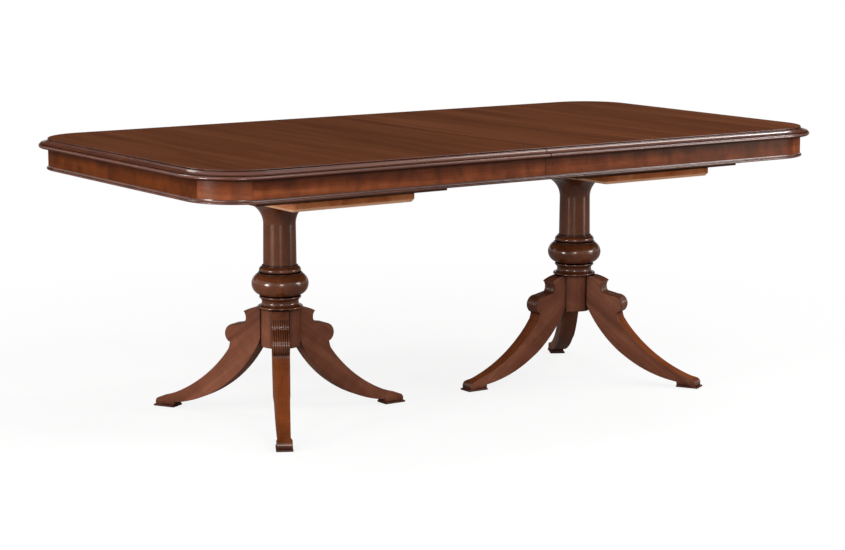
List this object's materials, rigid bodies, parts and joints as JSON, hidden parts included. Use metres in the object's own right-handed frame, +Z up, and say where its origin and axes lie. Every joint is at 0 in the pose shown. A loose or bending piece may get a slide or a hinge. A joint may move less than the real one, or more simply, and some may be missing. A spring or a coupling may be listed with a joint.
{
  "type": "dining table",
  "caption": "Extending double pedestal dining table with a moulded rounded-corner top, beaded apron, turned columns and scrolled, reeded sabre legs.",
  "frame": {"origin": "on the floor, under the middle of the closed top", "axes": "+X along the table towards the half that pulls out, +Y to the back, +Z up"},
  "size_m": [2.032, 1.092, 0.762],
  "materials": {
    "top_wood": "satin lacquer",
    "apron_wood": "satin lacquer",
    "pedestal_wood": "satin lacquer",
    "bearer_wood": "stained, unlacquered",
    "board_wood": "bare",
    "slide_wood": "bare",
    "dowel_wood": "bare",
    "steel": "zinc plated",
    "glide_plastic": "matt"
  },
  "bodies": {
    "left_half": {"left_top_panel": "top_wood", "left_front_apron": "apron_wood", "left_back_apron": "apron_wood", "left_end_apron": "apron_wood", "left_front_corner": "apron_wood", "left_back_corner": "apron_wood", "left_straight_beads": "apron_wood", "left_corner_beads": "apron_wood", "left_front_bearer": "bearer_wood", "left_back_bearer": "bearer_wood", "left_mounting_board": "board_wood", "left_glue_blocks": "board_wood", "left_column_shaft": "pedestal_wood", "left_column_vase": "pedestal_wood", "left_hub": "pedestal_wood", "left_inner_leg": "pedestal_wood", "left_front_leg": "pedestal_wood", "left_back_leg": "pedestal_wood", "left_leg_dowels": "dowel_wood", "left_glides": "glide_plastic", "left_tie_rod": "steel", "left_tie_rod_nuts": "steel", "left_board_screws": "steel", "left_slide_screws": "steel", "front_left_slide": "slide_wood", "back_left_slide": "slide_wood", "lock_plates": "steel"},
    "right_half": {"right_top_panel": "top_wood", "right_front_apron": "apron_wood", "right_back_apron": "apron_wood", "right_end_apron": "apron_wood", "right_front_corner": "apron_wood", "right_back_corner": "apron_wood", "right_straight_beads": "apron_wood", "right_corner_beads": "apron_wood", "right_front_bearer": "bearer_wood", "right_back_bearer": "bearer_wood", "right_mounting_board": "board_wood", "right_glue_blocks": "board_wood", "right_column_shaft": "pedestal_wood", "right_column_vase": "pedestal_wood", "right_hub": "pedestal_wood", "right_inner_leg": "pedestal_wood", "right_front_leg": "pedestal_wood", "right_back_leg": "pedestal_wood", "right_leg_dowels": "dowel_wood", "right_glides": "glide_plastic", "right_tie_rod": "steel", "right_tie_rod_nuts": "steel", "right_board_screws": "steel", "right_slide_screws": "steel", "front_right_slide": "slide_wood", "back_right_slide": "slide_wood", "lock_keepers": "steel", "seam_pins": "dowel_wood"},
    "front_middle_rail": {"front_middle_slide": "slide_wood"},
    "front_lock": {"front_lock_lever": "steel"},
    "back_middle_rail": {"back_middle_slide": "slide_wood"},
    "back_lock": {"back_lock_lever": "steel"}
  },
  "joints": [
    {"name": "top_extension", "type": "slide", "parent": "left_half", "child": "right_half", "axis": [1, 0, 0], "range_m": [0, 1.016]},
    {"name": "front_rail_travel", "type": "slide", "parent": "left_half", "child": "front_middle_rail", "axis": [1, 0, 0], "range_m": [0, 0.508]},
    {"name": "back_rail_travel", "type": "slide", "parent": "left_half", "child": "back_middle_rail", "axis": [1, 0, 0], "range_m": [0, 0.508]},
    {"name": "front_lock_turn", "type": "hinge", "parent": "left_half", "child": "front_lock", "pos_m": [-0.028, -0.4, 0.732], "axis": [0, 0, -1], "range_deg": [0, 90]},
    {"name": "back_lock_turn", "type": "hinge", "parent": "left_half", "child": "back_lock", "pos_m": [-0.028, 0.4, 0.732], "axis": [0, 0, 1], "range_deg": [0, 90]}
  ],
  "couplings": [
    {"joint": "front_rail_travel", "follows": "top_extension", "ratio": 0.5},
    {"joint": "back_rail_travel", "follows": "top_extension", "ratio": 0.5}
  ]
}
